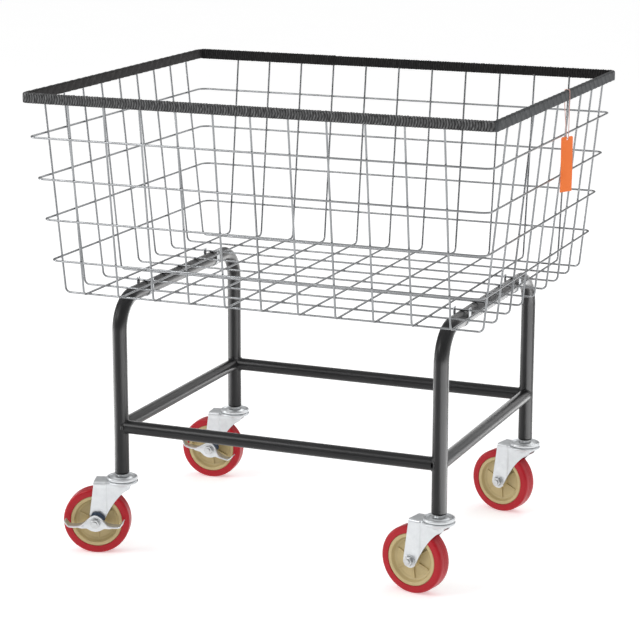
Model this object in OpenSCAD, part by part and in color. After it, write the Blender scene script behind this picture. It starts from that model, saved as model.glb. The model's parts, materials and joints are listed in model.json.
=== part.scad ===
// Wire laundry cart: a welded wire basket with a wrapped rim, standing on a black
// tube base with four swivel casters, two of them with side brakes.
// The origin is on the floor under the middle of the cart. X runs along the length,
// Y from front to back and Z up.

/* [Basket] */
// Outside length of the rim
rim_l = 899; // [850:1:960]
// Outside width of the rim
rim_w = 753; // [700:1:800]
// Height of the top of the rim above the floor
rim_top = 887; // [860:1:920]
// Height of the wrapped rim band
rim_h = 19; // [17:0.5:24]
// Thickness of the wrapped rim band
rim_t = 8.9; // [8:0.1:12]
// Radius of the rim's corners, outside
rim_corner = 14; // [12:1:30]
// Length of the wire floor, between the centres of the end wires' bends
floor_l = 814; // [780:1:840]
// Width of the wire floor, between the centres of the front and back wires' bends
floor_w = 646; // [620:1:680]
// Height of the centres of the lower floor wires
floor_z = 508; // [495:1:515]
// Diameter of the basket wire
wire_d = 3.8; // [3:0.1:5]
// Distance between the wires that run front to back
cross_pitch = 71.25; // [60:0.25:73]
// Number of wires that run front to back
cross_count = 11; // [7:2:11]
// Distance between the wires that run left to right
long_pitch = 74.5; // [60:0.5:76]
// Number of wires that run left to right
long_count = 9; // [5:2:9]

/* [Base frame] */
// Diameter of the leg tube
tube_d = 28; // [25:0.5:32]
// Wall of every frame tube
tube_wall = 1.5; // [1:0.1:2]
// Diameter of the stretcher tube
stretcher_d = 25; // [20:0.5:25.5]
// Distance from the middle to the leg centres along the length
leg_x = 318; // [300:1:335]
// Distance from the middle to the leg centres across the width
leg_y = 258; // [230:1:280]
// Bend radius of the leg tube, at its centreline
tube_bend = 60; // [50:1:80]
// Height of the stretcher centres
stretcher_z = 248; // [235:1:320]

/* [Casters] */
// Diameter of the wheel over the tread
wheel_d = 127; // [120:1:128]
// Width of the wheel
wheel_w = 31; // [28:0.5:32]
// Distance that the wheel trails behind the swivel axis
trail = 48.5; // [44:0.5:52]
// Turn of the front left caster, degrees
turn_fl = 18; // [-30:1:30]
// Turn of the front right caster, degrees
turn_fr = -12; // [-30:1:30]
// Turn of the rear right caster, degrees
turn_rr = -13.5; // [-30:0.5:30]
// Turn of the rear left caster, degrees
turn_rl = 6.5; // [-30:0.5:30]
// Rock of the front left brake lever, degrees
rock_fl = 0; // [-14:1:14]
// Rock of the rear left brake lever, degrees
rock_rl = 14; // [-14:1:14]

/* [Hang tag] */
// Width of the blank tag
tag_w = 30; // [20:1:40]
// Height of the blank tag
tag_h = 103; // [60:1:110]
// Place of the tag along the right rim
tag_y = 50; // [42:1:60]
// Turn of the tag about its string, degrees
tag_turn = -28; // [-35:1:0]

/* [Hidden] */
$fn = 48;
wire_r = wire_d / 2;
weld = 0.1;
layer = wire_d - weld;
wire_bend = 10;
hoop_bend = 16;
hoop_z = [574, 651.5, 728, 805];
hoop_names = ["hoop_1_lowest", "hoop_2", "hoop_3", "hoop_4_highest"];

// The rim bar stands inside the wrap, with the wire ends welded to its inner face.
wrap_t = 1.3;
bar_t = 2.5;
bar_x = rim_l / 2 - wrap_t - bar_t / 2;
bar_y = rim_w / 2 - wrap_t - bar_t / 2;
bar_z = rim_top - rim_h / 2;
wire_top = [bar_x - bar_t / 2 - wire_r + weld / 2, bar_y - bar_t / 2 - wire_r + weld / 2];

tube_r = tube_d / 2;
tube_top = floor_z - wire_r - tube_r + weld;
leg_end = 159;
flange_t = 4;
stretcher_r = stretcher_d / 2;

// Each caster is drawn about its own swivel axis, trailing towards -X, then placed.
corners = ["front_left", "front_right", "rear_right", "rear_left"];
corner_at = [[-leg_x, -leg_y], [leg_x, -leg_y], [leg_x, leg_y], [-leg_x, leg_y]];
turns = [turn_fl, turn_fr, turn_rr, turn_rl];
braked = [0, 3];
rocks = [rock_fl, 0, 0, rock_rl];
axle_z = wheel_d / 2;
axle_r = 5;
sleeve_r = 8;
run_gap = 0.06;
crown_top = 143;
crown_t = 5;
crown_r = 30;
fork_w = 42;
fork_sheet = 3;
kingpin_r = 6;
race_gap = 1.4;
race_top = 151;
low_race = 130;
low_race_r = 17.6;
ball_r = 3.5;
ball_ring = 20;
ball_z = crown_top + race_gap / 2;
low_ball_r = 2.5;
low_ball_ring = 14.5;
low_ball_z = crown_top - crown_t - race_gap / 2;
ball_gap = 0.1;
hub_r = 49.5;
fork_side = fork_w / 2;
cam_t = 6;
lever_t = 2;
nut_t = 7;
hex_r = 9.2;

tag_x = rim_l / 2 - rim_t / 2;
tag_hole_z = 798;
tag_t = 0.8;
tag_u = 3.5;
string_r = 0.8;
// The string's route round the rim's section and through the eyelet, out from the rim and up
string_route = [[-5, 888.4], [5, 888.4], [6.4, 887], [6.4, 866], [6.3, tag_hole_z + 3],
    [5.3, tag_hole_z], [1.7, tag_hole_z], [0.7, tag_hole_z + 3], [-6, 865], [-6.4, 887]];

CASTER_PARTS = ["race_balls", "fork", "axle_sleeve", "axle_bolt", "axle_nut", "wheel_hub", "tread"];
BRAKE_PARTS = ["brake_cam", "brake_lever"];

// ---- Bent rods and wires ----

function unit(v) = v / norm(v);
function turn(a, b) = atan2(a[0] * b[1] - a[1] * b[0], a * b);
function at(pts, i) = pts[(i + len(pts)) % len(pts)];
function before(pts, i) = unit(at(pts, i) - at(pts, i - 1));
function after(pts, i) = unit(at(pts, i + 1) - at(pts, i));
function is_corner(pts, i, closed) = closed || (i > 0 && i < len(pts) - 1);
function setback(pts, i, bend, closed) =
    is_corner(pts, i, closed) ? bend * tan(abs(turn(before(pts, i), after(pts, i))) / 2) : 0;

// A straight round rod from a to b in the XY plane
module straight(a, b, r) {
    d = b - a;
    translate(a) rotate([0, 0, atan2(d[1], d[0])]) rotate([0, 90, 0]) cylinder(h = norm(d), r = r);
}

// The bend of a rod at corner i
module elbow(pts, i, r, bend, closed) {
    d1 = before(pts, i);
    angle = turn(d1, after(pts, i));
    side = sign(angle);
    centre = at(pts, i) - d1 * setback(pts, i, bend, closed) + bend * side * [-d1[1], d1[0]];
    first = atan2(d1[1], d1[0]) - side * 90;
    translate(centre) rotate([0, 0, angle > 0 ? first : first + angle])
        rotate_extrude(angle = abs(angle)) translate([bend, 0]) circle(r = r);
}

// A round rod bent along points in the XY plane
module rod(pts, r, bend, closed = false) {
    last = len(pts) - (closed ? 1 : 2);
    for (i = [0 : last]) {
        d = after(pts, i);
        j = (i + 1) % len(pts);
        start = at(pts, i) + d * setback(pts, i, bend, closed);
        end = at(pts, j) - d * setback(pts, j, bend, closed);
        straight(start, end, r);
    }
    for (i = [0 : len(pts) - 1]) if (is_corner(pts, i, closed)) elbow(pts, i, r, bend, closed);
}

// A wire bent into an open U, with a fine collar over each end of its bends
module bent_wire(pts, r, bend) {
    gap = 0.1;
    half = 0.3;
    for (i = [0 : len(pts) - 2]) {
        d = after(pts, i);
        from = i > 0 ? setback(pts, i, bend, false) + gap : 0;
        to = i < len(pts) - 2 ? setback(pts, i + 1, bend, false) + gap : 0;
        straight(at(pts, i) + d * from, at(pts, i + 1) - d * to, r);
    }
    for (i = [1 : len(pts) - 2]) {
        elbow(pts, i, r, bend, false);
        for (d = [-before(pts, i), after(pts, i)]) {
            end = at(pts, i) + d * setback(pts, i, bend, false);
            straight(end - half * d, end + half * d, r + 0.05);
        }
    }
}

module stand_x() { rotate([90, 0, 0]) children(); }
module stand_y() { rotate([90, 0, 90]) children(); }

// Corner points of a U whose floor is half wide and whose arms lean out to the rim
function u_points(half, z, top) = [[-top, bar_z], [-half, z], [half, z], [top, bar_z]];
// Where the wall wires' centres are at a height, along the length and across the width
function wall_x(z) = floor_l / 2 + (wire_top[0] - floor_l / 2) * (z - floor_z) / (bar_z - floor_z);
function wall_y(z) = floor_w / 2 + (wire_top[1] - floor_w / 2) * (z - floor_z) / (bar_z - floor_z);
function tenth(v) = round(10 * v) / 10;
function row(i, count, pitch) = (i - (count - 1) / 2) * pitch;

// ---- Basket ----

module basket_cross_wires() {
    color("silver")
        for (i = [0 : cross_count - 1]) translate([row(i, cross_count, cross_pitch), 0, 0])
            stand_y() bent_wire(u_points(floor_w / 2, floor_z + layer, wire_top[1]), wire_r, wire_bend);
}

module basket_long_wires() {
    color("silver")
        for (i = [0 : long_count - 1]) translate([0, row(i, long_count, long_pitch), 0])
            stand_x() bent_wire(u_points(floor_l / 2, floor_z, wire_top[0]), wire_r, wire_bend);
}

module hoop(z) {
    x = tenth(wall_x(z) + layer);
    y = tenth(wall_y(z) + layer);
    color("silver")
        translate([0, 0, z]) rod([[-x, -y], [x, -y], [x, y], [-x, y]], wire_r, hoop_bend, true);
}

// A rectangle with round corners, inset from the rim's outline
module rim_outline(inset) {
    r = rim_corner - inset;
    x = rim_l / 2 - inset - r;
    y = rim_w / 2 - inset - r;
    square([2 * x + 2 * r, 2 * y], center = true);
    square([2 * x, 2 * y + 2 * r], center = true);
    for (sx = [-1, 1], sy = [-1, 1]) translate([sx * x, sy * y]) circle(r = r);
}

module rim_ring(from, to) {
    difference() {
        rim_outline(from);
        rim_outline(to);
    }
}

module rim_bar() {
    color("dimgray")
        translate([0, 0, rim_top - rim_h + wrap_t]) linear_extrude(rim_h - 2 * wrap_t)
            rim_ring(wrap_t, wrap_t + bar_t);
}

// One side's length of wrap, mitred at both corners; side 0 is the front, then anticlockwise
module rim_wrap(side) {
    x = rim_l / 2;
    y = rim_w / 2;
    mid = x - y;
    sides = [[[-x, -y], [x, -y], [mid, 0], [-mid, 0]], [[x, -y], [x, y], [mid, 0]],
        [[x, y], [-x, y], [-mid, 0], [mid, 0]], [[-x, y], [-x, -y], [-mid, 0]]];
    color([0.17, 0.17, 0.17]) translate([0, 0, rim_top - rim_h]) difference() {
        linear_extrude(rim_h) intersection() {
            rim_ring(0, rim_t);
            polygon(sides[side]);
        }
        translate([0, 0, wrap_t]) linear_extrude(rim_h - 2 * wrap_t) rim_ring(wrap_t, rim_t - wrap_t);
    }
}

// Straps under the frame tubes, with a notched ear each side that holds a floor wire
module basket_clips() {
    strap_t = 1.5;
    strap_w = 12;
    ear_top = floor_z + 5;
    color("silver") for (sx = [-1, 1], sy = [-1, 1])
        translate([sx * leg_x, sy * 2 * long_pitch, 0]) difference() {
            stand_x() linear_extrude(strap_w, center = true) {
                translate([0, tube_top]) difference() {
                    circle(r = tube_r + strap_t);
                    circle(r = tube_r);
                    translate([-tube_d, 0]) square([2 * tube_d, 2 * tube_d]);
                }
                for (s = [-1, 1]) translate([s * (tube_r + strap_t / 2) - strap_t / 2, tube_top])
                    square([strap_t, ear_top - tube_top]);
            }
            translate([-tube_d, 0, floor_z]) rotate([0, 90, 0]) cylinder(h = 2 * tube_d, r = wire_r);
            translate([-tube_d, -wire_r, floor_z]) cube([2 * tube_d, wire_d, 20]);
        }
}

// ---- Base frame ----

module leg_path(r, from) {
    stand_y() rod([[-leg_y, from], [-leg_y, tube_top], [leg_y, tube_top], [leg_y, from]], r, tube_bend);
}

module leg_frame(side) {
    color([0.17, 0.17, 0.17]) translate([side * leg_x, 0, 0]) difference() {
        leg_path(tube_r, leg_end);
        leg_path(tube_r - tube_wall, leg_end - 1);
    }
}

// A tube along X, half as long each way as half
module tube_x(half, r) { translate([-half, 0, 0]) rotate([0, 90, 0]) cylinder(h = 2 * half, r = r); }

module leg_space() {
    for (sx = [-1, 1], sy = [-1, 1])
        translate([sx * leg_x, sy * leg_y, 0]) cylinder(h = 2 * stretcher_z, r = tube_r);
}

module long_stretcher(side) {
    color([0.17, 0.17, 0.17]) difference() {
        translate([0, side * leg_y, stretcher_z]) tube_x(leg_x, stretcher_r);
        translate([0, side * leg_y, stretcher_z]) tube_x(leg_x + 1, stretcher_r - tube_wall);
        leg_space();
        for (sx = [-1, 1]) translate([sx * leg_x, 0, stretcher_z])
            rotate([0, 0, 90]) tube_x(leg_y + tube_d, stretcher_r);
    }
}

module short_stretcher(side) {
    color([0.17, 0.17, 0.17]) difference() {
        translate([side * leg_x, 0, stretcher_z]) rotate([0, 0, 90]) tube_x(leg_y, stretcher_r);
        translate([side * leg_x, 0, stretcher_z]) rotate([0, 0, 90])
            tube_x(leg_y + 1, stretcher_r - tube_wall);
        leg_space();
    }
}

// Flanged plugs pressed into the leg ends, bored and threaded for the caster stems
module stem_inserts() {
    color([0.15, 0.15, 0.15]) for (p = corner_at) translate([p[0], p[1], leg_end]) difference() {
        union() {
            cylinder(h = 34, r = tube_r - tube_wall);
            rotate_extrude() intersection() {
                translate([0, -flange_t]) square([tube_r, flange_t]);
                union() {
                    translate([tube_r - flange_t, 0]) circle(r = flange_t);
                    translate([0, -flange_t]) square([tube_r - flange_t, flange_t]);
                }
            }
        }
        translate([0, 0, -flange_t - 1]) cylinder(h = 40, r = kingpin_r);
    }
}

// ---- Casters ----

module place(i) { translate(corner_at[i]) rotate([0, 0, turns[i]]) children(); }
module about_axle() { translate([-trail, 0, axle_z]) children(); }
// Turns what is drawn about Z so that it lies about the axle, with +Z towards +Y
module along_axle() { about_axle() rotate([-90, 0, 0]) children(); }

// Threaded stem, hexagon and kingpin in one piece, peened over under the lower race
module caster_stems() {
    head_t = 3;
    head_z = low_race - head_t;
    hex_h = leg_end - flange_t - race_top;
    color("silver") for (i = [0 : 3]) place(i) {
        translate([0, 0, leg_end - flange_t]) cylinder(h = 32, r = kingpin_r);
        translate([0, 0, race_top]) cylinder(h = hex_h, r = 11, $fn = 6);
        translate([0, 0, head_z]) cylinder(h = race_top - head_z, r = kingpin_r);
        translate([0, 0, head_z]) cylinder(h = head_t, r = 9);
    }
}

module upper_races() {
    top = race_top;
    low = crown_top + race_gap;
    rim = crown_r - 1;
    color("gainsboro") for (i = [0 : 3]) place(i) difference() {
        rotate_extrude() polygon([[kingpin_r, top - 5], [kingpin_r, top], [17, top], [20, top - 0.8],
            [rim - 0.7, top - 2.6], [rim, top - 3.6], [rim, low], [rim - 1.4, low],
            [rim - 1.4, low + 1], [24.5, top - 5]]);
        rotate_extrude() translate([ball_ring, ball_z]) circle(r = ball_r + ball_gap);
    }
}

module lower_races() {
    top = crown_top - crown_t - race_gap;
    color("gainsboro") for (i = [0 : 3]) place(i) difference() {
        rotate_extrude() polygon([[kingpin_r, low_race], [14.5, low_race], [low_race_r, low_race + 2.5],
            [low_race_r, top], [kingpin_r, top]]);
        rotate_extrude() translate([low_ball_ring, low_ball_z]) circle(r = low_ball_r + ball_gap);
    }
}

module race_balls(i) {
    color("silver") place(i) {
        for (k = [0 : 15]) rotate([0, 0, k * 22.5]) translate([ball_ring, 0, ball_z]) sphere(r = ball_r);
        for (k = [0 : 13]) rotate([0, 0, k * 360 / 14]) translate([low_ball_ring, 0, low_ball_z])
            sphere(r = low_ball_r);
    }
}

// Outline of the fork's cheeks in the XZ plane
module cheek_outline() {
    end_r = 13.5;
    polygon([[-52, crown_top], [-trail - end_r, axle_z + 2], [-trail + 9.6, axle_z - 9.5],
        [-24, 86], [-12, 104], [0, 119], [8, 125], [17, 129], [17, crown_top]]);
    translate([-trail, axle_z]) circle(r = end_r);
}

// The bent sheet across the fork: two cheeks and the web that joins them
module cheek_section(half, r) {
    side_h = 100;
    top = crown_top - fork_side + half;
    translate([-half, top - side_h]) square([2 * half, side_h - r]);
    translate([-half + r, top - side_h]) square([2 * (half - r), side_h]);
    for (s = [-1, 1]) translate([s * (half - r), top - r]) circle(r = r);
}

module fork(i) {
    color("gainsboro") place(i) difference() {
        union() {
            intersection() {
                translate([-70, 0, 0]) stand_y() linear_extrude(100) difference() {
                    cheek_section(fork_side, 5);
                    cheek_section(fork_side - fork_sheet, 2);
                }
                translate([0, 40, 0]) stand_x() linear_extrude(80) cheek_outline();
            }
            translate([0, 0, crown_top - crown_t]) rotate_extrude() {
                square([crown_r - 2, crown_t]);
                square([crown_r, crown_t - 2]);
                translate([crown_r - 2, crown_t - 2]) circle(r = 2);
            }
        }
        cylinder(h = 200, r = kingpin_r + 0.4);
        rotate_extrude() translate([ball_ring, ball_z]) circle(r = ball_r);
        rotate_extrude() translate([low_ball_ring, low_ball_z]) circle(r = low_ball_r);
        along_axle() cylinder(h = 80, r = axle_r, center = true);
    }
}

module axle_sleeve(i) {
    color("silver") place(i) along_axle() difference() {
        cylinder(h = fork_w - 2 * fork_sheet, r = sleeve_r, center = true);
        cylinder(h = fork_w, r = axle_r, center = true);
    }
}

function nut_start(i) = fork_side + (len(search(i, braked)) > 0 ? cam_t + lever_t + 0.3 : 0);

module axle_bolt(i) {
    tip = nut_start(i) + nut_t + 2.5;
    color("silver") place(i) along_axle() {
        translate([0, 0, -tip]) cylinder(h = tip + fork_side, r = axle_r);
        translate([0, 0, fork_side]) cylinder(h = 6, r = hex_r, $fn = 6);
    }
}

module axle_nut(i) {
    color("silver") place(i) along_axle() translate([0, 0, -nut_start(i) - nut_t]) difference() {
        union() {
            cylinder(h = nut_t, r = hex_r, $fn = 6);
            translate([0, 0, nut_t - 1.4]) cylinder(h = 1.4, r = 10);
        }
        translate([0, 0, -1]) cylinder(h = nut_t + 2, r = axle_r);
    }
}

module wheel_hub(i) {
    half = wheel_w / 2;
    boss = half + 2;
    face = half - 9.5;
    color([0.77, 0.7, 0.52]) place(i) along_axle() {
        rotate_extrude() polygon([[sleeve_r + run_gap, -boss], [13, -boss], [14, -face],
            [36, -face], [41.5, -half + 3.5], [44.5, -half + 0.6], [46.5, -half + 0.2],
            [hub_r, -half + 1.2], [hub_r, half - 1.2], [46.5, half - 0.2], [44.5, half - 0.6],
            [41.5, half - 3.5], [36, face], [14, face], [13, boss], [sleeve_r + run_gap, boss]]);
        for (s = [-1, 1], k = [0 : 5]) mirror([0, 0, s > 0 ? 0 : 1])
            rotate([0, 0, 60 * k + 25]) translate([12, -1, face - 1]) cube([26, 2, 3]);
    }
}

module tread(i) {
    r = wheel_d / 2;
    half = wheel_w / 2;
    shoulder = 5;
    color([0.71, 0.13, 0.18]) place(i) along_axle() rotate_extrude() difference() {
        union() {
            translate([hub_r, -half]) square([r - hub_r - shoulder, wheel_w]);
            translate([hub_r, -half + shoulder]) square([r - hub_r, wheel_w - 2 * shoulder]);
            for (s = [-1, 1]) translate([r - shoulder, s * (half - shoulder)]) circle(r = shoulder);
        }
        translate([r + 0.4, 0]) circle(r = 1.2);
    }
}

// ---- Side brakes ----

module rocked(i) { place(i) about_axle() rotate([0, rocks[i], 0]) rotate([90, 0, 0]) children(); }

module brake_cam(i) {
    color([0.28, 0.31, 0.36]) rocked(i) translate([0, 0, fork_side + 0.1]) difference() {
        cylinder(h = cam_t - 0.1, r = 11.5);
        translate([0, 0, -1]) cylinder(h = cam_t + 2, r = axle_r + run_gap);
    }
}

// Upper edge of the lever, as half a bow-tie, and the same edge one sheet lower
ridge = [[0, 14.5], [7, 11.5], [25, -1.5], [46, -3], [53, 1], [57.5, 8]];
under = [[55.3, 9], [51, 3], [45.3, -1], [25.5, 0.7], [8, 13.3], [0, 16.5]];
function flip(pts) = [for (p = pts) [-p[0], p[1]]];
function back(pts) = [for (k = [len(pts) - 1 : -1 : 0]) pts[k]];

// Bow-tie lever: an upright web about the bolt, with a foot pad along its upper edge
module brake_lever(i) {
    pad = 19;
    color("gainsboro") rocked(i) translate([0, 0, fork_side + cam_t]) {
        difference() {
            linear_extrude(lever_t) polygon([[-50, -3], [-25, -1.5], [-7, 11.5], [7, 11.5], [25, -1.5],
                [50, -3], [36, -9], [27, -11], [17, -10.5], [8, -15.5], [0, -17], [-8, -15.5],
                [-17, -10.5], [-27, -11], [-36, -9]]);
            translate([0, 0, -1]) cylinder(h = lever_t + 2, r = axle_r + run_gap);
        }
        linear_extrude(pad) polygon(concat(ridge, under, back([for (p = flip(under)) if (p[0] < 0) p]),
            back([for (p = flip(ridge)) if (p[0] < 0) p])));
    }
}

// ---- Hang tag ----

module at_tag() { translate([tag_x, tag_y, 0]) rotate([0, 0, tag_turn]) children(); }

// A loop of string round the rim that passes through the tag's eyelet
module tag_string() {
    n = len(string_route);
    sides = 8;
    points = [for (i = [0 : n - 1]) let (t = unit(at(string_route, i + 1) - at(string_route, i - 1)))
        for (k = [0 : sides - 1]) let (c = string_r * cos(k * 360 / sides), p = string_route[i])
            [p[0] - c * t[1], string_r * sin(k * 360 / sides), p[1] + c * t[0]]];
    faces = [for (i = [0 : n - 1], k = [0 : sides - 1])
        let (i2 = (i + 1) % n, k2 = (k + 1) % sides, a = i * sides, b = i2 * sides)
            for (f = [[a + k, b + k2, b + k], [a + k, a + k2, b + k2]]) f];
    color([0.85, 0.6, 0.6]) at_tag() polyhedron(points, faces);
}

module hang_tag() {
    color([0.95, 0.45, 0.16]) at_tag() translate([tag_u, 0, tag_hole_z + 5]) rotate([0, 90, 0])
        difference() {
            linear_extrude(tag_t, center = true) {
                translate([3, -tag_w / 2]) square([tag_h - 3, tag_w]);
                translate([0, 3 - tag_w / 2]) square([4, tag_w - 6]);
                for (s = [-1, 1]) translate([3, s * (tag_w / 2 - 3)]) circle(r = 3);
            }
            translate([5, 0, 0]) cylinder(h = 4, r = 2.2, center = true);
        }
}

// ---- The nodes ----

rim_bar();
rim_wrap(0);  // rim_wrap_front
rim_wrap(1);  // rim_wrap_right
rim_wrap(2);  // rim_wrap_back
rim_wrap(3);  // rim_wrap_left
basket_cross_wires();
basket_long_wires();
for (k = [0 : 3]) hoop(hoop_z[k]);
basket_clips();
leg_frame(-1);  // left_leg_frame
leg_frame(1);  // right_leg_frame
long_stretcher(-1);  // front_stretcher
long_stretcher(1);  // rear_stretcher
short_stretcher(-1);  // left_stretcher
short_stretcher(1);  // right_stretcher
stem_inserts();
caster_stems();
upper_races();
lower_races();
tag_string();
hang_tag();
for (i = [0 : 3]) {
    race_balls(i);
    fork(i);
    axle_sleeve(i);
    axle_bolt(i);
    axle_nut(i);
    wheel_hub(i);
    tread(i);
}
for (i = braked) {
    brake_cam(i);
    brake_lever(i);
}
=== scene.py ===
import json
import math
import bmesh
import bpy
from mathutils import Matrix, Quaternion, Vector, noise

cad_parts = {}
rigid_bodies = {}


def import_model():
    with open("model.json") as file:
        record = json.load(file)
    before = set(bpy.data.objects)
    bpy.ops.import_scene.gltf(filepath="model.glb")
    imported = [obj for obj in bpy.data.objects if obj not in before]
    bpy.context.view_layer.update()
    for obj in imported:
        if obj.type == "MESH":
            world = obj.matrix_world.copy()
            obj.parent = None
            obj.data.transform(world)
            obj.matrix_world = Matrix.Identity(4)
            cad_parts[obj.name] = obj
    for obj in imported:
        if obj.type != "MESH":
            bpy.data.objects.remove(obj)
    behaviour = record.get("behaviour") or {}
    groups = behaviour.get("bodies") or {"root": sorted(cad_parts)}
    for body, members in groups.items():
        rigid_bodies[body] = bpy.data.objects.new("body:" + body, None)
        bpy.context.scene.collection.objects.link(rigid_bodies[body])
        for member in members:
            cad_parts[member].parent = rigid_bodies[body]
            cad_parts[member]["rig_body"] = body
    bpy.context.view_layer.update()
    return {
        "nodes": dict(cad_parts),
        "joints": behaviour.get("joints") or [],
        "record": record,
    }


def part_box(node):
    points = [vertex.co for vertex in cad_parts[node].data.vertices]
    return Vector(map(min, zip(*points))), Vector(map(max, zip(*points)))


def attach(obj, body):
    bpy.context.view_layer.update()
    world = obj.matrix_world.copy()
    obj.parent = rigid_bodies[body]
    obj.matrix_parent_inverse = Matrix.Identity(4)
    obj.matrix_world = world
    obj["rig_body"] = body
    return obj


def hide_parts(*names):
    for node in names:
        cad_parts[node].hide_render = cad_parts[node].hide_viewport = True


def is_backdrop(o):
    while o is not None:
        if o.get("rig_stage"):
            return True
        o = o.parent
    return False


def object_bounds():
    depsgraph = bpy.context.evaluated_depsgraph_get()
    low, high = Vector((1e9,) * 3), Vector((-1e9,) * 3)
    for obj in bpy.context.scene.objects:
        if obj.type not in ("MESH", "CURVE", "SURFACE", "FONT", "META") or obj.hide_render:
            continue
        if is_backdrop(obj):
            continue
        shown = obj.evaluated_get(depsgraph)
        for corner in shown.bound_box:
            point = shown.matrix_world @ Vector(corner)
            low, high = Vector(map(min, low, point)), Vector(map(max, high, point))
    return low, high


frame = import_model()
joints = {joint["name"]: joint for joint in frame["joints"]}
corners = ["front_left", "front_right", "rear_right", "rear_left"]
mm = 0.001

# The camera stands where it sees the cart's long front side and its right end

viewpoint = dict(place=(1.587, -3.915, 1.430), heading=22.31, dip=13.36, roll=0.17, lens=127.3)


def placeCamera():
    camera = bpy.data.objects.new("camera", bpy.data.cameras.new("camera"))
    bpy.context.scene.collection.objects.link(camera)
    camera.location = viewpoint["place"]
    camera.rotation_mode = "QUATERNION"
    turn = Quaternion((0, 0, 1), math.radians(viewpoint["heading"]))
    tip = Quaternion((1, 0, 0), math.radians(90 - viewpoint["dip"]))
    camera.rotation_quaternion = turn @ tip @ Quaternion((0, 0, 1), math.radians(viewpoint["roll"]))
    camera.data.lens = viewpoint["lens"]
    camera.data.sensor_width = 36
    camera.data.clip_start = 0.05
    camera.data.clip_end = 120
    bpy.context.scene.camera = camera


placeCamera()
print("camera placed")

# A short way to write shader maths


class Signal:
    def __init__(self, finish, socket):
        self.finish = finish
        self.socket = socket

    def maths(self, operation, other=None, turned=False):
        pair = (other, self) if turned else (self, other)
        values = {slot: value for slot, value in enumerate(pair) if value is not None}
        return self.finish.add("Math", {"operation": operation}, values)

    def __add__(self, other):
        return self.maths("ADD", other)

    def __radd__(self, other):
        return self.maths("ADD", other)

    def __sub__(self, other):
        return self.maths("SUBTRACT", other)

    def __rsub__(self, other):
        return self.maths("SUBTRACT", other, True)

    def __mul__(self, other):
        return self.maths("MULTIPLY", other)

    def __rmul__(self, other):
        return self.maths("MULTIPLY", other)

    def sine(self):
        return self.maths("SINE")

    def size(self):
        return self.maths("ABSOLUTE")

    def wrap(self):
        return self.maths("FRACT")

    def above(self, low, high):
        ramp = {"interpolation_type": "SMOOTHSTEP"}
        return self.finish.add("MapRange", ramp, {0: self, 1: low, 2: high, 3: 0.0, 4: 1.0})


class Finish:
    def __init__(self, name, **constants):
        self.material = bpy.data.materials.new(name)
        self.material.use_nodes = True
        self.tree = self.material.node_tree
        self.shader = self.tree.nodes["Principled BSDF"]
        for words, value in constants.items():
            self.shader.inputs[words.replace("_", " ")].default_value = value
        self.place = self.add("TexCoord", output="Object")

    def add(self, kind, settings=None, values=None, output=0):
        node = self.tree.nodes.new("ShaderNode" + kind)
        for name, value in (settings or {}).items():
            setattr(node, name, value)
        for socket, value in (values or {}).items():
            self.feed(node.inputs[socket], value)
        return Signal(self, node.outputs[output])

    def feed(self, socket, value):
        if isinstance(value, Signal):
            self.tree.links.new(value.socket, socket)
        else:
            socket.default_value = value

    def grain(self, size, detail=2, stretch=(1, 1, 1)):
        place = self.add("Mapping", {}, {"Vector": self.place, "Scale": stretch})
        return self.add("TexNoise", {}, {"Vector": place, "Scale": 1 / size, "Detail": detail})

    def blend(self, share, first, second):
        values = {0: share, 6: (*first, 1) if isinstance(first, tuple) else first}
        values[7] = (*second, 1) if isinstance(second, tuple) else second
        return self.add("Mix", {"data_type": "RGBA"}, values, 2)

    def axes(self, place):
        node = self.add("SeparateXYZ", {}, {0: place}).socket.node
        return [Signal(self, socket) for socket in node.outputs]

    def uv(self):
        return self.add("UVMap", {"uv_map": "tape"}, output="UV")

    def relief(self, height, depth, strength=1.0):
        return self.add("Bump", {}, {"Height": height, "Distance": depth, "Strength": strength})

    def show(self, **signals):
        for words, value in signals.items():
            self.feed(self.shader.inputs[words.replace("_", " ")], value)
        return self.material


# One function for each finish: sizes in metres, then how colour, roughness and relief vary
def zincWire():
    finish = Finish("zincWire", Metallic=1.0)
    cloud = finish.grain(0.05, 3)
    fine = finish.grain(0.0012, 2)
    return finish.show(Base_Color=finish.blend(cloud, (0.2, 0.207, 0.215), (0.4, 0.41, 0.42)),
                       Roughness=0.14 + 0.12 * cloud + 0.06 * fine,
                       Normal=finish.relief(fine, 0.00008, 0.5))


def zincSheet():
    finish = Finish("zincSheet", Metallic=0.85)
    cloud = finish.grain(0.012, 3)
    streak = finish.grain(0.0015, 3, (1, 1, 0.12))
    tone = finish.blend(cloud, (0.56, 0.58, 0.6), (0.78, 0.8, 0.81))
    return finish.show(Base_Color=finish.blend(0.25 * streak, tone, (0.86, 0.88, 0.9)),
                       Roughness=0.24 + 0.14 * cloud + 0.08 * streak,
                       Normal=finish.relief(streak, 0.0001, 0.35))


def zincBolt():
    finish = Finish("zincBolt", Metallic=1.0)
    cloud = finish.grain(0.006, 3)
    return finish.show(Base_Color=finish.blend(cloud, (0.45, 0.46, 0.47), (0.72, 0.73, 0.73)),
                       Roughness=0.22 + 0.2 * cloud,
                       Normal=finish.relief(finish.grain(0.0008), 0.00006, 0.4))


def bareSteel():
    finish = Finish("bareSteel", Metallic=1.0)
    scale = finish.grain(0.004, 4, (1, 1, 0.2))
    return finish.show(Base_Color=finish.blend(scale, (0.24, 0.24, 0.25), (0.5, 0.5, 0.5)),
                       Roughness=0.35 + 0.25 * scale)


def ballSteel():
    finish = Finish("ballSteel", Metallic=1.0)
    grease = finish.grain(0.003, 2)
    return finish.show(Base_Color=finish.blend(grease, (0.5, 0.5, 0.5), (0.8, 0.8, 0.8)),
                       Roughness=0.08 + 0.2 * grease)


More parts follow.
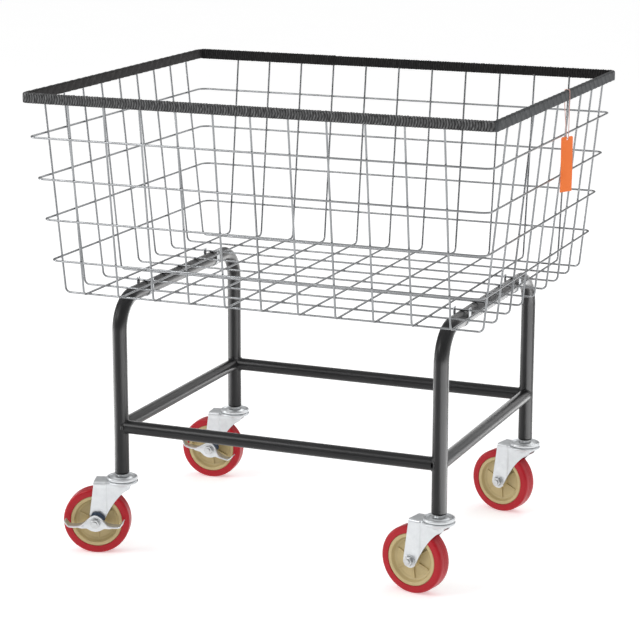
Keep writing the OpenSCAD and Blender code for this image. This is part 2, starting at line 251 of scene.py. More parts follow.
def frameCoat():
    finish = Finish("frameCoat", Coat_Roughness=0.2, Specular_IOR_Level=0.22)
    peel = finish.grain(0.0022, 2)
    cloud = finish.grain(0.08, 3)
    return finish.show(Base_Color=finish.blend(cloud, (0.009, 0.009, 0.0095), (0.015, 0.015, 0.016)),
                       Roughness=0.3 + 0.08 * cloud + 0.05 * peel, Coat_Weight=0.08 + 0.08 * cloud,
                       Normal=finish.relief(peel, 0.00022, 0.35))


def insertBlack():
    finish = Finish("insertBlack", Specular_IOR_Level=0.25)
    wear = finish.grain(0.004, 4).above(0.62, 0.75)
    return finish.show(Base_Color=finish.blend(wear, (0.006, 0.006, 0.0065), (0.05, 0.05, 0.055)),
                       Roughness=0.35 + 0.2 * wear, Metallic=0.4 * wear)


def camDark():
    finish = Finish("camDark", Metallic=0.2, Specular_IOR_Level=0.35)
    cloud = finish.grain(0.004, 3)
    return finish.show(Base_Color=finish.blend(cloud, (0.012, 0.022, 0.04), (0.05, 0.075, 0.12)),
                       Roughness=0.3 + 0.25 * cloud, Normal=finish.relief(cloud, 0.0002, 0.4))


def hubPlastic():
    finish = Finish("hubPlastic", Coat_Roughness=0.3, Specular_IOR_Level=0.3)
    flow = finish.grain(0.02, 3)
    pores = finish.grain(0.0009, 2)
    return finish.show(Base_Color=finish.blend(flow, (0.46, 0.36, 0.17), (0.6, 0.49, 0.26)),
                       Roughness=0.38 + 0.12 * flow + 0.08 * pores, Coat_Weight=0.12 + 0.08 * flow,
                       Normal=finish.relief(pores, 0.0001, 0.4))


def treadRed():
    finish = Finish("treadRed", Coat_Roughness=0.16, Specular_IOR_Level=0.22)
    cloud = finish.grain(0.025, 3)
    scuff = finish.grain(0.0016, 4).above(0.5, 0.8)
    deep = finish.blend(cloud, (0.37, 0.002, 0.009), (0.47, 0.004, 0.015))
    return finish.show(Base_Color=finish.blend(0.2 * scuff, deep, (0.58, 0.05, 0.06)),
                       Roughness=0.34 + 0.1 * cloud + 0.12 * scuff, Coat_Weight=0.2 + 0.1 * cloud,
                       Normal=finish.relief(scuff, 0.00012, 0.3))


def tagCard():
    finish = Finish("tagCard", Sheen_Weight=0.05, Specular_IOR_Level=0.2)
    fibre = finish.grain(0.0007, 3, (1, 1, 0.3))
    cloud = finish.grain(0.02, 2)
    return finish.show(Base_Color=finish.blend(cloud, (0.88, 0.175, 0.03), (0.95, 0.225, 0.045)),
                       Roughness=0.5 + 0.12 * fibre, Normal=finish.relief(fibre, 0.00008, 0.5))


def tagThread():
    finish = Finish("tagThread", Sheen_Weight=0.3)
    along, across, _ = finish.axes(finish.uv())
    ply = ((along * 1800 + across * 3).wrap() - 0.5).size() * 2
    fluff = finish.grain(0.0005, 3)
    return finish.show(Base_Color=finish.blend(ply, (0.3, 0.12, 0.1), (0.68, 0.4, 0.35)),
                       Roughness=0.7 + 0.2 * fluff, Normal=finish.relief(ply + 0.3 * fluff, 0.0003, 0.6))


def rimTape(name, low, high):
    finish = Finish(name, Sheen_Weight=0.12, Sheen_Roughness=0.45, Specular_IOR_Level=0.15)
    along, across, _ = finish.axes(finish.uv())
    ridge = finish.add("Attribute", {"attribute_name": "ridge"}, output="Fac")
    yarn = ((across * 1250 + along * 420).sine() * (along * 1400).sine() + 1) * 0.5
    fluff = finish.grain(0.0006, 3)
    # painted highlight on the ridges and painted shade in the hollows: the tape's colour follows its
    # relief
    share = ridge * ridge * (0.6 + 0.3 * yarn) + 0.7 * fluff - 0.3
    return finish.show(Base_Color=finish.blend(share, low, high), Roughness=0.72 + 0.2 * fluff,
                       Normal=finish.relief(yarn + 0.5 * fluff, 0.0003, 0.6))


finishes = {
    "basket_wire": zincWire(), "zinc_sheet": zincSheet(), "zinc_bolt": zincBolt(),
    "bare_steel": bareSteel(), "ball_steel": ballSteel(), "frame_coat": frameCoat(),
    "insert_black": insertBlack(), "cam_dark": camDark(), "hub_plastic": hubPlastic(),
    "tread_red": treadRed(), "tag_card": tagCard(), "tag_thread": tagThread(),
    "rim_tape": rimTape("rimTape", (0.003, 0.003, 0.0035), (0.24, 0.242, 0.245)),
    "side_tape": rimTape("sideTape", (0.02, 0.022, 0.024), (0.17, 0.178, 0.184))}
# painted shade: the back and left tapes are darker copies of the front and right tapes
backTape = rimTape("backTape", (0.003, 0.003, 0.003), (0.035, 0.034, 0.034))  # the same tape in the shade
leftTape = rimTape("leftTape", (0.007, 0.0065, 0.0065), (0.075, 0.07, 0.07))
slotOf = {part["node"]: part["material_slot"] for part in frame["record"]["subparts"]}
for node, part in frame["nodes"].items():
    part.data.materials.clear()
    part.data.materials.append(finishes[slotOf[node]])
print("finishes made")

# Ways to make a piece


def addPiece(name, bm, slot, body, stands=(), crease=35, material=None):
    mesh = bpy.data.meshes.new(name)
    bm.to_mesh(mesh)
    bm.free()
    piece = bpy.data.objects.new(name, mesh)
    bpy.context.scene.collection.objects.link(piece)
    mesh.materials.append(material or finishes[slot])
    mesh.shade_smooth()
    mesh.set_sharp_from_angle(angle=math.radians(crease))
    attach(piece, body)
    if stands:
        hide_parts(*stands)
    return piece


def softenEdges(piece, width, segments=2):
    bevel = piece.modifiers.new("soft edges", "BEVEL")
    bevel.width = width
    bevel.segments = segments
    bevel.limit_method = "ANGLE"
    bevel.angle_limit = math.radians(30)
    bevel.use_clamp_overlap = True


# A CAD node's own shape, merged and smoothed, with a soft edge where one is given
def polish(node, edge=0.0):
    bm = bmesh.new()
    bm.from_mesh(frame["nodes"][node].data)
    bmesh.ops.remove_doubles(bm, verts=bm.verts, dist=1e-6)
    bmesh.ops.dissolve_limit(bm, angle_limit=math.radians(0.4), verts=bm.verts, edges=bm.edges)
    piece = addPiece("smooth_" + node, bm, slotOf[node], frame["nodes"][node]["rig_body"], [node])
    if edge:
        softenEdges(piece, edge)
    return piece


# The outline through the points, each corner rounded to its radius
def rounded(points, radii, cuts=4):
    outline = []
    for i, point in enumerate(points):
        corner = Vector(point)
        back = Vector(points[i - 1]) - corner
        on = Vector(points[(i + 1) % len(points)]) - corner
        if not radii[i]:
            outline.append(corner)
            continue
        reach = radii[i] / math.tan(back.angle(on) / 2)
        reach = min(reach, 0.48 * back.length, 0.48 * on.length)
        start = corner + back.normalized() * reach
        end = corner + on.normalized() * reach
        for k in range(cuts + 1):
            share = k / cuts
            outline.append(start.lerp(corner, share).lerp(corner.lerp(end, share), share))
    return outline


# A closed outline in millimetres, out from the axis and along it, turned all the way round
def spun(profile, steps=96, axis=(0, 1, 0)):
    bm = bmesh.new()
    verts = [bm.verts.new((point[0] * mm, point[1] * mm, 0)) for point in profile]
    if axis[2]:
        for vert in verts:
            vert.co = (vert.co.x, 0, vert.co.y)
    edges = [bm.edges.new((verts[i - 1], vert)) for i, vert in enumerate(verts)]
    bmesh.ops.spin(bm, geom=verts + edges, cent=(0, 0, 0), axis=axis, angle=math.tau, steps=steps,
                   use_merge=True, use_duplicate=False)
    bmesh.ops.recalc_face_normals(bm, faces=bm.faces)
    return bm


def addInto(bm, other, matrix=Matrix.Identity(4)):
    mesh = bpy.data.meshes.new("part")
    other.to_mesh(mesh)
    other.free()
    mesh.transform(matrix)
    bm.from_mesh(mesh)
    bpy.data.meshes.remove(mesh)
    return bm


# A flat plate in millimetres from its outline, with soft edges and a round hole if they are given
def plate(outline, thickness, edge=0.0, bore=0.0):
    bm = bmesh.new()
    verts = [bm.verts.new((point[0] * mm, 0, point[1] * mm)) for point in outline]
    edges = [bm.edges.new((verts[i - 1], vert)) for i, vert in enumerate(verts)]
    if bore:
        ring = bmesh.ops.create_circle(bm, segments=40, radius=bore * mm)["verts"]
        bmesh.ops.rotate(bm, matrix=Matrix.Rotation(math.pi / 2, 3, "X"), verts=ring)
        edges = bm.edges[:]
    bmesh.ops.triangle_fill(bm, edges=edges, use_beauty=True)
    grown = bmesh.ops.extrude_face_region(bm, geom=bm.faces[:])
    moved = [item for item in grown["geom"] if isinstance(item, bmesh.types.BMVert)]
    bmesh.ops.translate(bm, vec=(0, thickness * mm, 0), verts=moved)
    bmesh.ops.recalc_face_normals(bm, faces=bm.faces)
    if edge:
        rims = [e for e in bm.edges if e.is_manifold and e.calc_face_angle() > 0.9]
        bmesh.ops.bevel(bm, geom=rims, offset=edge * mm, offset_type="OFFSET", affect="EDGES",
                        segments=2, profile=0.5, material=-1, clamp_overlap=True)
    return bm


# The tape round the rim, one length for each side

wrap = dict(length=0.899, width=0.753, thick=0.0089, corner=0.014, square=0.4, skin=0.0002, fade=0.006,
            ribPitch=0.0051, ribHeight=0.0009, ribSlope=0.62, ribDrift=0.3, ribStep=0.00085,
            lapPitch=0.027, lapHeight=0.0008, lapSlope=0.34, lapEdge=0.08, lapStep=0.0016, wrinkle=0.0004,
            seam=0.14, seamStep=0.0007, around=40, tapeWide=0.052)


def wrapPath(out, straight, s):
    radius = wrap["corner"] - wrap["thick"] / 2
    past = abs(s) - straight
    if past <= 0:
        return Vector((s, -(out - wrap["thick"] / 2), 0)), Vector((0, -1, 0))
    angle = past / radius
    side = math.copysign(1, s)
    normal = Vector((side * math.sin(angle), -math.cos(angle), 0))
    centre = Vector((side * straight, -(out - wrap["corner"]), 0))
    return centre + radius * normal, normal


# Each pattern gives the painted light on the tape's relief, from 0 to 1 (painted highlight on the ridges,
# painted shade in the hollows), and how proud the tape stands
def ribs(s, height, end):
    drift = wrap["ribDrift"] * noise.noise(Vector((s * 45, height * 0.8, 2)))
    slope = wrap["ribSlope"] * abs(height - 0.15)
    wave = abs(math.sin(math.pi * (s / wrap["ribPitch"] + slope + drift))) ** 0.7
    swell = 0.8 + 0.5 * noise.noise(Vector((s * 150, height * 2, 9)))
    tall = 1 + 0.9 * max(0, height)  # the ribs stand taller on the upper edge
    # painted light: the rib tops are lighter and the hollows between them darker
    return wave * min(1, swell), wrap["ribHeight"] * tall * (wave * swell - 0.6) * end


def laps(s, height, end):
    turn = s / wrap["lapPitch"] + wrap["lapSlope"] * height
    past = turn - math.floor(turn)
    rise = min(1, past / wrap["lapEdge"]) * (1 - 0.8 * past)
    wrinkle = 0.5 + 0.5 * noise.noise(Vector((s * 90, height * 1.3, 4)))
    shade = 1 - 0.7 * max(0, min(1, 4 * (height - 0.7)))  # painted shade: the upper edge is darker
    proud = wrap["lapHeight"] * rise + wrap["wrinkle"] * wrinkle - 0.0005
    # painted light: the raised lap edges are lighter and the sunken part of each lap darker
    return (0.4 + 0.6 * rise * wrinkle) * shade, proud * end


def wrapSide(name, node, quarter, slot, pattern, step, material=None):
    low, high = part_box(node)
    half, out = wrap["length"] / 2, wrap["width"] / 2
    if quarter % 2:
        half, out = out, half
    straight = half - wrap["corner"]
    total = straight + (wrap["corner"] - wrap["thick"] / 2) * math.pi / 4
    middle, tall = (low.z + high.z) / 2, (high.z - low.z) / 2
    bm = bmesh.new()
    along = round(2 * total / step)
    bmesh.ops.create_grid(bm, x_segments=along, y_segments=wrap["around"], size=1)
    uv = bm.loops.layers.uv.new("tape")
    for face in bm.faces:
        for loop in face.loops:
            loop[uv].uv = (loop.vert.co.x * total, (loop.vert.co.y + 1) / 2 * wrap["tapeWide"])
    # this layer carries the painted light and shade that follows the tape's relief
    ridge = bm.verts.layers.float.new("ridge")
    turned = Matrix.Rotation(quarter * math.pi / 2, 3, "Z")
    for vert in bm.verts:
        s, angle = vert.co.x * total, vert.co.y * math.pi
        across = math.copysign(abs(math.cos(angle)) ** wrap["square"], math.cos(angle))
        height = math.copysign(abs(math.sin(angle)) ** wrap["square"], math.sin(angle))
        end = min(1, (total - abs(s)) / wrap["fade"])
        vert[ridge], proud = pattern(s, height, end)
        if quarter == 2 and s > wrap["seam"]:
            proud += wrap["seamStep"] * end
        place, normal = wrapPath(out, straight, s)
        place += normal * across * (wrap["thick"] / 2 - wrap["skin"] + proud)
        place.z = middle + height * (tall - wrap["skin"] + proud)
        vert.co = turned @ place
    bmesh.ops.remove_doubles(bm, verts=bm.verts, dist=1e-6)
    ends = [edge for edge in bm.edges if edge.is_boundary]
    bmesh.ops.holes_fill(bm, edges=ends, sides=0)
    bmesh.ops.recalc_face_normals(bm, faces=bm.faces)
    addPiece(name, bm, slot, "cart", [node], 60, material)


wrapSide("front_rim_tape", "rim_wrap_front", 0, "rim_tape", ribs, wrap["ribStep"])
wrapSide("right_rim_tape", "rim_wrap_right", 1, "side_tape", laps, wrap["lapStep"])
wrapSide("back_rim_tape", "rim_wrap_back", 2, "rim_tape", ribs, wrap["ribStep"], backTape)
wrapSide("left_rim_tape", "rim_wrap_left", 3, "side_tape", laps, wrap["lapStep"], leftTape)
print("rim wrapped")

# Basket wires and their welds

basket = dict(crossPitch=0.07125, crossCount=11, longPitch=0.0745, longCount=9, wire=0.0038,
              spot=0.0024, spotVaries=0.16, clipEdge=0.0004)
hoops = ["hoop_1_lowest", "hoop_2", "hoop_3", "hoop_4_highest"]


def places(count, pitch):
    return [(i - (count - 1) / 2) * pitch for i in range(count)]


def weldSpots():
    crossAt = places(basket["crossCount"], basket["crossPitch"])
    longAt = places(basket["longCount"], basket["longPitch"])
    wire = basket["wire"]
    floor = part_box("basket_long_wires")[0].z + wire
    spots = [Vector((x, y, floor)) for x in crossAt for y in longAt]
    for hoop in hoops:
        low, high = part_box(hoop)
        z = (low.z + high.z) / 2
        spots += [Vector((x, side * (high.y - wire), z)) for x in crossAt for side in (-1, 1)]
        spots += [Vector((side * (high.x - wire), y, z)) for y in longAt for side in (-1, 1)]
    bm = bmesh.new()
    for i, spot in enumerate(spots):
        made = bmesh.ops.create_icosphere(bm, subdivisions=2, radius=basket["spot"])["verts"]
        swell = 1 + basket["spotVaries"] * (noise.random() - 0.5)
        bmesh.ops.scale(bm, vec=(swell, swell, swell), verts=made)
        bmesh.ops.translate(bm, vec=spot, verts=made)
    addPiece("wire_weld_spots", bm, "basket_wire", "cart")


noise.seed_set(7)
weldSpots()
for node in ["basket_cross_wires", "basket_long_wires"] + hoops:
    polish(node)
polish("basket_clips", basket["clipEdge"])
print("basket made")

# Base frame and its weld beads

base = dict(tube=14.0, stretcher=12.5, bead=1.7, steps=112, ripple=0.06, ripples=26, insertEdge=0.0003)


# A bead where a stretcher meets a leg, bent to the leg's round side
def weldBead(place, direction):
    bm = bmesh.new()
    ring = bmesh.ops.create_circle(bm, segments=8, radius=base["bead"] * mm)["verts"]
    bmesh.ops.rotate(bm, matrix=Matrix.Rotation(math.pi / 2, 3, "X"), verts=ring)
    bmesh.ops.translate(bm, vec=(base["stretcher"] * mm, 0, 0), verts=ring)
    bmesh.ops.spin(bm, geom=ring + bm.edges[:], cent=(0, 0, 0), axis=(0, 0, 1), angle=math.tau,
                   steps=base["steps"], use_merge=True, use_duplicate=False)
    for vert in bm.verts:
        around = math.atan2(vert.co.y, vert.co.x)
        ripple = 1 + base["ripple"] * math.sin(around * base["ripples"])
        x, y = vert.co.x, vert.co.y
        middle = Vector((x, y, 0)).normalized() * base["stretcher"] * mm
        x, y = middle.x + (x - middle.x) * ripple, middle.y + (y - middle.y) * ripple
        sideways = min(abs(y), base["stretcher"] * mm)
        vert.co = (x, y, vert.co.z * ripple + math.sqrt((base["tube"] * mm) ** 2 - sideways ** 2))
    bmesh.ops.recalc_face_normals(bm, faces=bm.faces)
    up = Vector((0, 0, 1))
    matrix = Matrix((up, direction.cross(up), direction)).transposed().to_4x4()
    matrix.translation = place
    return bm, matrix


def frameWelds():
    bm = bmesh.new()
    legs = {corner: Vector(joints[corner + "_swivel"]["pos_m"]) for corner in corners}
    low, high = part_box("front_stretcher")
    height = (low.z + high.z) / 2
    for i, corner in enumerate(corners):
        for other in (corners[i - 1], corners[(i + 1) % 4]):
            start, end = legs[corner].copy(), legs[other]
            direction = (end - start).normalized()
            start.z = height
            addInto(bm, *weldBead(start, direction))
    addPiece("frame_weld_beads", bm, "frame_coat", "cart")


frameWelds()
tubes = ["left_leg_frame", "right_leg_frame", "front_stretcher", "rear_stretcher", "left_stretcher",
         "right_stretcher"]
for node in tubes:
    polish(node)
polish("stem_inserts", base["insertEdge"])
print("base frame made")

# Casters, drawn in millimetres about the wheel's axle with the kingpin ahead, and then stood in place

caster = dict(trail=48.5, crown=79.5, half=21.0, sheet=3.0, fold=5.0, crease=20.0, taper=0.13, joggle=1.7,
              step=70.5, stepIn=0.9, foot=13.5, bore=5.05,
              forkEdge=0.0005, boltEdge=0.0005, stemEdge=0.0004,
              rear=[(-13.5, 1.0), (-3.5, 74.5)],
              front=[(12.8, -4.2), (24.0, 20.0), (37.0, 40.5), (50.5, 55.5), (64.0, 64.5), (66.5, 74.5)],
              dish=[(6.6, 73.6), (18.0, 73.6), (24.0, 73.6), (28.6, 74.4), (30.0, 76.0), (30.0, 77.6),
                    (28.0, 79.6), (23.8, 79.9), (20.0, 76.4), (16.2, 79.9), (6.6, 79.9)],
              dishRadii=[0, 0, 1, 1, 1, 1, 1.4, 0.6, 1.5, 0.6, 0.4])


def casterMatrix(corner):
    wheel = joints[corner + "_wheel"]
    across = Vector(wheel["axis"])
    ahead = across.cross(Vector((0, 0, 1)))
    matrix = Matrix((ahead, across, (0, 0, 1))).transposed().to_4x4()
    matrix.translation = wheel["pos_m"]
    return matrix


# A point on a smooth curve through the points, share of the way
def curveAt(points, share):
    last = len(points) - 1
    i = min(int(share * last), last - 1)
    t = share * last - i
    p = [Vector(points[max(0, min(last, k))]) for k in (i - 1, i, i + 1, i + 2)]
    if i == 0:
        p[0] = 2 * p[1] - p[2]
    if i == last - 1:
        p[3] = 2 * p[2] - p[1]
    curve = 2 * p[1] + (p[2] - p[0]) * t
    curve += (2 * p[0] - 5 * p[1] + 4 * p[2] - p[3]) * t * t
    curve += (3 * p[1] - p[0] - 3 * p[2] + p[3]) * t ** 3
    return curve / 2


# A point on the fork's cheek: share from rear to front edge, rise from the round foot to the crown
def cheekPoint(share, rise):
    flat = curveAt(caster["rear"], rise).lerp(curveAt(caster["front"], rise), share)
    first, last = Vector(caster["rear"][0]), Vector(caster["front"][0])
    start = math.atan2(first.y, first.x)
    turn = start + share * (math.atan2(last.y, last.x) + math.tau - start)
    arc = Vector((math.cos(turn), math.sin(turn))) * caster["foot"]
    return flat + (arc - first.lerp(last, share)) * (1 - rise) ** 2.5


def forkSheet():
    bm = bmesh.new()
    bmesh.ops.create_grid(bm, x_segments=64, y_segments=92, size=1)
    half, fold, crown = caster["half"], caster["fold"], caster["crown"]
    flatEnd, foldEnd = 0.18, 0.3  # shares of the sheet's half width
    for vert in bm.verts:
        share, away = (vert.co.x + 1) / 2, abs(vert.co.y)
        side = math.copysign(1, vert.co.y)
        top = cheekPoint(share, 1.0)
        if away <= flatEnd:
            x, y, z = top.x, (half - fold) * away / flatEnd, crown
        elif away <= foldEnd:
            angle = (away - flatEnd) / (foldEnd - flatEnd) * math.pi / 2
            x, y, z = top.x, half - fold + fold * math.sin(angle), crown - fold + fold * math.cos(angle)
        else:
            point = cheekPoint(share, 1 - (away - foldEnd) / (1 - foldEnd))
            x, y, z = point.x, half, point.y
        past = max(0, x - caster["crease"])
        inset = caster["taper"] * past + caster["joggle"] * min(1, past / 1.3)
        inset += caster["stepIn"] * min(1, max(0, (caster["step"] - z) / 1.5))
        y -= inset * min(1, y / (half - fold))
        vert.co = (x * mm, side * y * mm, z * mm)
    bmesh.ops.recalc_face_normals(bm, faces=bm.faces)
    if max(bm.faces, key=lambda face: face.calc_center_median().z).normal.z < 0:
        bmesh.ops.reverse_faces(bm, faces=bm.faces)
    bmesh.ops.solidify(bm, geom=bm.faces[:], thickness=caster["sheet"] * mm)
    return bm


def forkPiece(corner):
    bm = forkSheet()
    dish = spun(rounded(caster["dish"], caster["dishRadii"]), 96, (0, 0, 1))
    addInto(bm, dish, Matrix.Translation((caster["trail"] * mm, 0, 0)))
    for side in (-1, 1):
        top = caster["half"] + (0.08 if side < 0 and corner in lever["rock"] else 0.6)
        boss = [(caster["bore"], 20.4), (11.4, 20.4), (10.9, top), (caster["bore"], top)]
        addInto(bm, spun(rounded(boss, [0, 0, 0.4, 0]), 64), Matrix.Diagonal((1, side, 1, 1)))
    bmesh.ops.transform(bm, matrix=casterMatrix(corner), verts=bm.verts)
    bmesh.ops.recalc_face_normals(bm, faces=bm.faces)
    piece = addPiece("pressed_fork_" + corner, bm, "zinc_sheet", "swivel_" + corner, ["fork_" + corner],
                     40)
    softenEdges(piece, caster["forkEdge"])


# half of each profile, out from the axle and along it, in millimetres; the other half mirrors it
tread = dict(profile=[(49.5, 15.5), (63.5, 15.5), (63.5, 3.4), (63.0, 2.8), (63.0, 2.4), (63.4, 1.8)],
             radii=[0.4, 5.5, 0.3, 0.2, 0.2, 0.3], cuts=6, steps=128)
hub = dict(profile=[(8.06, 17.5), (13.0, 17.5), (14.2, 6.4), (34.5, 6.0), (39.5, 8.4), (42.6, 14.6),
                    (48.2, 15.1), (49.5, 13.6)],
           radii=[0, 0.8, 2.0, 3.5, 3.0, 1.2, 0.8, 0], cuts=5, steps=128,
           ribs=6, ribTurn=25, ribAt=5.6, ribThick=2.2, ribEdge=0.5,
           rib=[(12.5, 0), (37.5, 0), (36.0, 2.4), (13.5, 4.2)], ribRadii=[0, 0, 1.2, 1.0])


def wheelRing(ring):
    mirrored = [(out, -across) for out, across in reversed(ring["profile"])]
    radii = [*ring["radii"], *reversed(ring["radii"])]
    return spun(rounded([*ring["profile"], *mirrored], radii, ring["cuts"]), ring["steps"])


def treadPiece(corner):
    bm = wheelRing(tread)
    bmesh.ops.transform(bm, matrix=casterMatrix(corner), verts=bm.verts)
    addPiece("cast_tread_" + corner, bm, "tread_red", "wheel_" + corner, ["tread_" + corner], 40)


def hubPiece(corner):
    bm = wheelRing(hub)
    for face in (-1, 1):
        at = Matrix.Translation((0, face * hub["ribAt"] * mm, 0))
        lie = Matrix(((1, 0, 0, 0), (0, 0, face, 0), (0, 1, 0, -hub["ribThick"] / 2 * mm), (0, 0, 0, 1)))
        for k in range(hub["ribs"]):
            rib = plate(rounded(hub["rib"], hub["ribRadii"]), hub["ribThick"], hub["ribEdge"])
            turn = Matrix.Rotation(math.radians(360 / hub["ribs"] * k + hub["ribTurn"]), 4, "Y")
            addInto(bm, rib, turn @ at @ lie)
    bmesh.ops.recalc_face_normals(bm, faces=bm.faces)
    bmesh.ops.transform(bm, matrix=casterMatrix(corner), verts=bm.verts)
    addPiece("moulded_hub_" + corner, bm, "hub_plastic", "wheel_" + corner, ["wheel_hub_" + corner], 40)


# top is half of the lever's upper edge, out from the axle and up; web is the plate under it
lever = dict(rock=dict(front_left=0, rear_left=14), start=27.0, sheet=2.0, pad=19.0, waist=0.25, lip=1.6,
             bore=5.06, edge=0.0006, webEdge=0.4,
             top=[(0, 16.5), (8, 13.3), (25.5, 0.7), (45.3, -1.0), (51.0, 3.0), (55.3, 9.0)],
             web=[(-50, -3), (-25, -1.5), (-7, 13.5), (0, 15.5), (7, 13.5), (25, -1.5), (50, -3), (36, -9),
                  (27, -11), (17, -10.5), (8, -15.5), (0, -17), (-8, -15.5), (-17, -10.5), (-27, -11),
                  (-36, -9)],
             webRadii=[1, 5, 3, 2, 3, 5, 1, 3, 2, 3, 3, 4, 3, 3, 2, 3])
cam = dict(outline=[(-9.5, 6.6), (-6.5, 19.5), (8.0, 20.0), (17.0, 12.0), (19.0, 5.0), (9.0, 6.6)],
           radii=[0.5, 5, 6, 4, 2, 0.5], thick=5.7, edge=0.7, gap=0.05, bodyEdge=0.0005)


def leverPiece(corner):
    bm = bmesh.new()
    bmesh.ops.create_grid(bm, x_segments=80, y_segments=14, size=1)
    for vert in bm.verts:
        far, out = abs(vert.co.x), (vert.co.y + 1) / 2
        edge = curveAt(lever["top"], far)
        widen = max(0, min(1, (far - 0.25) / 0.2))
        deep = lever["pad"] * (lever["waist"] + (1 - lever["waist"]) * widen ** 2 * (3 - 2 * widen))
        droop = lever["lip"] * max(0, (out - 0.8) / 0.2) ** 2 * widen
        vert.co = (math.copysign(edge.x, vert.co.x) * mm, -(lever["start"] + out * deep) * mm,
                   (edge.y - droop) * mm)
    bmesh.ops.recalc_face_normals(bm, faces=bm.faces)
    if max(bm.faces, key=lambda face: abs(face.normal.z)).normal.z < 0:
        bmesh.ops.reverse_faces(bm, faces=bm.faces)
    bmesh.ops.solidify(bm, geom=bm.faces[:], thickness=lever["sheet"] * mm)
    web = plate(rounded(lever["web"], lever["webRadii"]), lever["sheet"], lever["webEdge"], lever["bore"])
    addInto(bm, web, Matrix.Translation((0, -(lever["start"] + lever["sheet"]) * mm, 0)))
    rock = Matrix.Rotation(math.radians(lever["rock"][corner]), 4, "Y")
    bmesh.ops.transform(bm, matrix=casterMatrix(corner) @ rock, verts=bm.verts)
    node = "brake_lever_" + corner
    body = frame["nodes"][node]["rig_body"]
    piece = addPiece("pressed_lever_" + corner, bm, slotOf[node], body, [node], 40)
    softenEdges(piece, lever["edge"])
    cap = plate(rounded(cam["outline"], cam["radii"]), cam["thick"], cam["edge"])
    stand = Matrix.Translation((0, -(lever["start"] - cam["gap"]) * mm, 0))
    bmesh.ops.transform(cap, matrix=casterMatrix(corner) @ rock @ stand, verts=cap.verts)
    addPiece("cam_cap_" + corner, cap, "cam_dark", frame["nodes"]["brake_cam_" + corner]["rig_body"])


# out from the kingpin and up from the axle
race = dict(profile=[(6.1, 81.1), (6.1, 87.7), (13.5, 87.9), (17.5, 87.1), (20.5, 84.9), (23.5, 84.4),
                     (25.4, 86.1), (27.2, 86.9), (28.9, 85.9), (29.3, 83.9), (29.0, 81.0), (27.6, 81.0),
                     (27.4, 82.7), (24.5, 82.5), (23.4, 81.1)],
            radii=[0, 0.3, 1, 1.2, 1.5, 1.2, 1, 1, 1, 1, 0.4, 0.3, 0, 0, 0])


def racePieces():
    outline = rounded(race["profile"], race["radii"])
    bm = bmesh.new()
    for corner in corners:
        ahead = Matrix.Translation((caster["trail"] * mm, 0, 0))
        addInto(bm, spun(outline, 96, (0, 0, 1)), casterMatrix(corner) @ ahead)
    node = "upper_races"
    addPiece("rolled_upper_races", bm, slotOf[node], frame["nodes"][node]["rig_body"], [node], 50)


for corner in corners:
    forkPiece(corner)
    treadPiece(corner)
    hubPiece(corner)
    for part in ("axle_bolt_", "axle_nut_"):
        polish(part + corner, caster["boltEdge"])
for corner in lever["rock"]:
    polish("brake_cam_" + corner, cam["bodyEdge"])
    leverPiece(corner)
racePieces()
for node in ("caster_stems", "lower_races"):
    polish(node, caster["stemEdge"])
print("casters made")

# Hang tag and its string

tag = dict(rimX=0.44505, y=0.05, turn=-28, out=0.0035, hole=0.798, top=0.0042, width=0.030, height=0.1022,
           thick=0.0008, corner=0.003, curl=0.0011, cup=0.0005, eyelet=0.0022, cord=0.0016)
# out from the rim's middle and up, in metres, down one side, through the eyelet and back
threadRoute = [(0.0012, 0.8882), (0.005, 0.8882), (0.0064, 0.8865), (0.0066, 0.880), (0.0065, 0.866),
               (0.0064, 0.845), (0.0064, 0.825), (0.0063, 0.803), (0.0053, 0.7985), (0.0035, 0.798),
               (0.0017, 0.7985), (0.0006, 0.803), (-0.0018, 0.825), (-0.0042, 0.845), (-0.0062, 0.866),
               (-0.0066, 0.880), (-0.0064, 0.8865), (-0.005, 0.8882), (-0.0012, 0.8882)]


def tagPoint(out, aside, height):
    turn = math.radians(tag["turn"])
    return Vector((tag["rimX"] + out * math.cos(turn) - aside * math.sin(turn),
                   tag["y"] + out * math.sin(turn) + aside * math.cos(turn), height))


def tagString():
    curve = bpy.data.curves.new("tag_loop", "CURVE")
    curve.dimensions = "3D"
    curve.bevel_depth = tag["cord"] / 2
    curve.bevel_resolution = 3
    curve.resolution_u = 6
    spline = curve.splines.new("NURBS")
    spline.points.add(len(threadRoute) - 1)
    for point, (out, height) in zip(spline.points, threadRoute):
        point.co = (*tagPoint(out, 0, height), 1)
    spline.use_endpoint_u = True
    spline.order_u = 3
    piece = bpy.data.objects.new("tag_loop", curve)
    bpy.context.scene.collection.objects.link(piece)
    curve.materials.append(finishes["tag_thread"])
    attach(piece, "cart")
    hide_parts("tag_string")
    return piece


def tagCardPiece():
    bm = bmesh.new()
    half, tall, corner = tag["width"] / 2, tag["height"], tag["corner"]
    bmesh.ops.create_grid(bm, x_segments=20, y_segments=60, size=1)
    for vert in bm.verts:
        across, down = vert.co.x * half, (1 - vert.co.y) / 2 * tall
        shoulder = max(0, corner - down)
        across *= 1 - (corner - math.sqrt(max(0, corner ** 2 - shoulder ** 2))) / half
        curl = tag["curl"] * math.sin(math.pi * down / tall) * down / tall
        curl -= tag["cup"] * (across / half) ** 2
        vert.co = tagPoint(tag["out"] + curl, across, tag["hole"] + tag["top"] - down)
    eye = tagPoint(tag["out"], 0, tag["hole"])
    near = [vert for vert in bm.verts if (vert.co - eye).length < tag["eyelet"] * 1.05]
    bmesh.ops.delete(bm, geom=near, context="VERTS")
    rim = [vert for vert in bm.verts if vert.is_boundary and (vert.co - eye).length < 3 * tag["eyelet"]]
    for vert in rim:
        if (vert.co - eye).length < 2.3 * tag["eyelet"]:
            vert.co = eye + (vert.co - eye).normalized() * tag["eyelet"]
    bmesh.ops.solidify(bm, geom=bm.faces[:], thickness=tag["thick"])
    bmesh.ops.recalc_face_normals(bm, faces=bm.faces)
    addPiece("blank_hang_tag", bm, "tag_card", "tag", ["hang_tag"])


string = tagString()
tagCardPiece()
print("tag made")

# White floor, lamps, shining cards that only the glossy tubes reflect, and sky

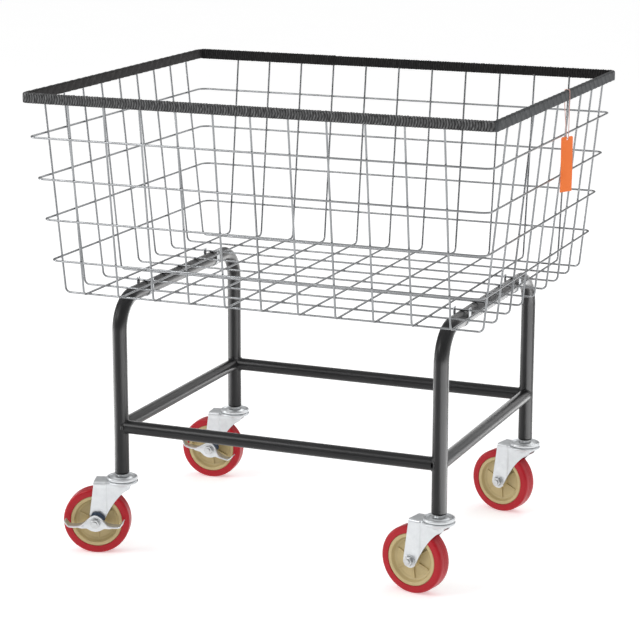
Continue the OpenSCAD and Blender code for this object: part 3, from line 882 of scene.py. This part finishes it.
studio = dict(floor=80.0, floorGlow=0.4, horizon=0.1, overhead=0.8, skyFrom=0.05, skyTo=0.75, lamps=[
    dict(name="key", place=(-2.4, -3.2, 3.2), size=(1.4, 1.4), power=46),
    dict(name="left strip", place=(-3.2, -1.3, 1.1), size=(0.4, 2.4), power=26),
    dict(name="right wall", place=(3.4, 1.2, 1.1), size=(4.0, 2.2), power=25),
    dict(name="back", place=(0.6, 3.2, 3.0), size=(2.0, 2.0), power=20)], cards=[
    dict(name="right card", place=(2.1, -0.9, 0.012), size=(3.0, 2.8), power=190, tilt=180),
    dict(name="left card", place=(-1.7, -0.3, 0.012), size=(1.8, 1.4), power=42, tilt=180),
    dict(name="back left card", place=(-1.1, 2.2, 0.012), size=(4.0, 2.8), power=110, tilt=180),
    dict(name="backdrop", place=(-0.6, 4.4, 0.9), size=(5.0, 1.6), power=60, tilt=-90)])


def studioFloor():
    bm = bmesh.new()
    bmesh.ops.create_grid(bm, x_segments=4, y_segments=4, size=studio["floor"] / 2)
    mesh = bpy.data.meshes.new("floor")
    bm.to_mesh(mesh)
    bm.free()
    floor = bpy.data.objects.new("floor", mesh)
    bpy.context.scene.collection.objects.link(floor)
    paint = Finish("floorPaint", Roughness=0.75)
    speck = paint.grain(0.4, 2)
    paint.shader.inputs["Emission Strength"].default_value = studio["floorGlow"]
    mesh.materials.append(paint.show(Base_Color=paint.blend(speck, (0.9, 0.9, 0.9), (0.92, 0.92, 0.92)),
                                     Emission_Color=(1, 1, 1, 1)))
    floor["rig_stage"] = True


def addLamp(lamp):
    light = bpy.data.lights.new(lamp["name"], "AREA")
    light.shape = "RECTANGLE"
    light.size, light.size_y = lamp["size"]
    light.energy = lamp["power"]
    lampObject = bpy.data.objects.new(lamp["name"], light)
    lampObject.location = lamp["place"]
    bpy.context.scene.collection.objects.link(lampObject)
    return lampObject


def studioLight():
    low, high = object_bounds()
    middle = (low + high) / 2
    for lamp in studio["lamps"]:
        lampObject = addLamp(lamp)
        aim = middle - lampObject.location
        lampObject.rotation_euler = aim.to_track_quat("-Z", "Y").to_euler()
    glossy = bpy.data.collections.new("glossy")
    for name in ["frame_weld_beads", *["smooth_" + node for node in tubes]]:
        glossy.objects.link(bpy.data.objects[name])
    for card in studio["cards"]:
        cardObject = addLamp(card)
        cardObject.rotation_euler.x = math.radians(card["tilt"])
        cardObject.visible_camera = False
        cardObject.visible_diffuse = False
        cardObject.light_linking.receiver_collection = glossy


def studioSky():
    world = bpy.data.worlds.new("studio")
    world.use_nodes = True
    nodes, links = world.node_tree.nodes, world.node_tree.links
    split = nodes.new("ShaderNodeSeparateXYZ")
    links.new(nodes.new("ShaderNodeTexCoord").outputs["Generated"], split.inputs[0])
    height = nodes.new("ShaderNodeMapRange")
    for slot, name in enumerate(("skyFrom", "skyTo", "horizon", "overhead"), 1):
        height.inputs[slot].default_value = studio[name]
    links.new(split.outputs["Z"], height.inputs[0])
    links.new(height.outputs[0], nodes["Background"].inputs["Strength"])
    nodes["Background"].inputs["Color"].default_value = (1, 1, 1, 1)
    bpy.context.scene.world = world
    bpy.context.scene.view_settings.view_transform = "Standard"


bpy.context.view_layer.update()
studioFloor()
studioLight()
studioSky()
print("studio set")
